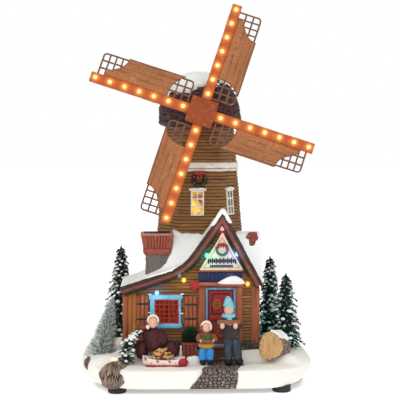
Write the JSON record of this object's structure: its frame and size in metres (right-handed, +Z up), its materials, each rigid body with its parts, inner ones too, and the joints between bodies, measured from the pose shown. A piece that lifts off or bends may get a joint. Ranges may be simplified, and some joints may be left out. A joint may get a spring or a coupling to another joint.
{
  "type": "souvenir figurine",
  "caption": "Lit winter cottage with a windmill tower whose four sails turn on a geared, battery-driven windshaft, on a snowy base.",
  "frame": {"origin": "on the table, under the middle of the snow base", "axes": "+X to the right seen from the front, +Y to the back, +Z up"},
  "size_m": [0.212, 0.156, 0.3416],
  "materials": {
    "snow": "matt snow paint on cast resin",
    "black_plastic": "matt",
    "rubber": "matt",
    "steel": "brushed",
    "cell_wrap": "gloss sleeve",
    "brass": "satin",
    "board": "satin solder mask",
    "wire": "gloss sleeve",
    "gear_plastic": "satin",
    "grey_plastic": "satin",
    "sail_stock": "brushed wood look",
    "sail_board": "printed wood grain",
    "lamp": "warm lit lens",
    "plank_ochre": "washed paint on moulded planks",
    "plank_red": "washed paint",
    "door_red": "satin paint",
    "blue_paint": "satin paint",
    "roof_tile": "rough paint",
    "barge": "rough paint",
    "sign": "satin print",
    "green": "matt",
    "bulb": "lit lens",
    "brick": "rough paint",
    "cap_paint": "rough paint",
    "white_paint": "satin paint",
    "fir": "bristles with snow tips",
    "frost_fir": "frosted bristles",
    "log": "washed paint",
    "man_coat": "satin paint",
    "child_coat": "satin paint",
    "woman_coat": "satin paint",
    "sled": "satin paint"
  },
  "bodies": {
    "cottage": {"base_shell": "snow", "bottom_plate": "black_plastic", "feet": "rubber", "screws": "steel", "battery_box": "black_plastic", "battery_cells": "cell_wrap", "battery_contacts": "brass", "switch_body": "steel", "circuit_board": "board", "wire_loom": "wire", "motor_can": "steel", "gearbox_frame": "grey_plastic", "shaft_bushes": "brass", "house_walls": "plank_ochre", "corner_posts": "plank_red", "door_leaf": "door_red", "door_frame": "blue_paint", "door_steps": "plank_red", "window_casement": "blue_paint", "shutters": "plank_red", "roof": "roof_tile", "roof_snow": "snow", "barge_boards": "barge", "gable_sign": "sign", "garland": "green", "garland_bulbs": "bulb", "chimney": "brick", "tower_body": "plank_ochre", "tower_band": "snow", "tower_windows": "white_paint", "wreaths": "green", "mill_cap": "cap_paint", "cap_snow": "snow", "tree_rear_left": "fir", "tree_front_left": "frost_fir", "tree_small": "fir", "tree_tall_right": "fir", "tree_short_right": "fir", "cut_log": "log", "figure_man": "man_coat", "figure_child": "child_coat", "figure_woman": "woman_coat", "sled": "sled", "planter": "brick"},
    "sails": {"windshaft": "steel", "output_gear": "gear_plastic", "hub": "sail_stock", "sail_lamps": "lamp", "sail_frame_1": "sail_stock", "sail_frame_2": "sail_stock", "sail_frame_3": "sail_stock", "sail_frame_4": "sail_stock", "sail_board_1": "sail_board", "sail_board_2": "sail_board", "sail_board_3": "sail_board", "sail_board_4": "sail_board"},
    "compound_gear": {"compound_gear": "gear_plastic"},
    "motor_pinion": {"motor_pinion": "gear_plastic"},
    "switch_slider": {"switch_slider": "black_plastic"},
    "battery_door": {"battery_door": "black_plastic"}
  },
  "joints": [
    {"name": "sail_spin", "type": "hinge", "parent": "cottage", "child": "sails", "pos_m": [0.0025, -0.042, 0.244], "axis": [0, -0.9799, 0.1994], "continuous": true},
    {"name": "compound_spin", "type": "hinge", "parent": "cottage", "child": "compound_gear", "pos_m": [-0.0053, 0.0043, 0.22079], "axis": [0, -0.9799, 0.1994], "continuous": true},
    {"name": "pinion_spin", "type": "hinge", "parent": "cottage", "child": "motor_pinion", "pos_m": [0.00861, 0.00356, 0.21714], "axis": [0, -0.9799, 0.1994], "continuous": true},
    {"name": "switch_slide", "type": "slide", "parent": "cottage", "child": "switch_slider", "axis": [1, 0, 0], "range_m": [0, 0.004]},
    {"name": "battery_door_slide", "type": "slide", "parent": "cottage", "child": "battery_door", "axis": [0, 1, 0], "range_m": [0, 0.0532]}
  ],
  "couplings": [
    {"joint": "compound_spin", "follows": "sail_spin", "ratio": -3.3333},
    {"joint": "pinion_spin", "follows": "sail_spin", "ratio": 10}
  ]
}
